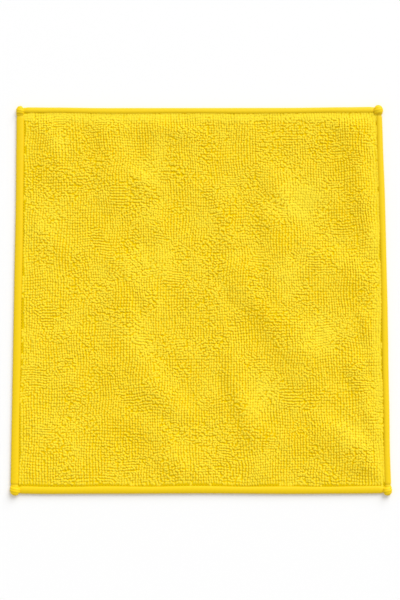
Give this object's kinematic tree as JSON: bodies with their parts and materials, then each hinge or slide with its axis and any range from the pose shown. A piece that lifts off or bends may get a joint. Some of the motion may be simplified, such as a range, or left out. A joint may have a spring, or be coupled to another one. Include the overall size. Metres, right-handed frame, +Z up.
{
  "type": "microfibre cloth",
  "caption": "Square yellow microfibre cleaning cloth of terry knit, lying flat with soft folds, its sides closed by rounded overlocked edgings that end in small corner knobs.",
  "frame": {"origin": "on the table, under the middle of the cloth's bounding box", "axes": "+X to the cloth's right, +Y to its top edge as pictured, +Z up out of the pile side"},
  "size_m": [0.3016, 0.3158, 0.0055],
  "materials": {
    "terry_knit": "short looped microfibre pile, matt with a fine sparkle",
    "overlock_thread": "smooth filament thread, satin"
  },
  "bodies": {
    "root": {"terry_panel": "terry_knit", "edging_left": "overlock_thread", "edging_right": "overlock_thread", "edging_bottom": "overlock_thread", "edging_top": "overlock_thread"}
  },
  "joints": []
}
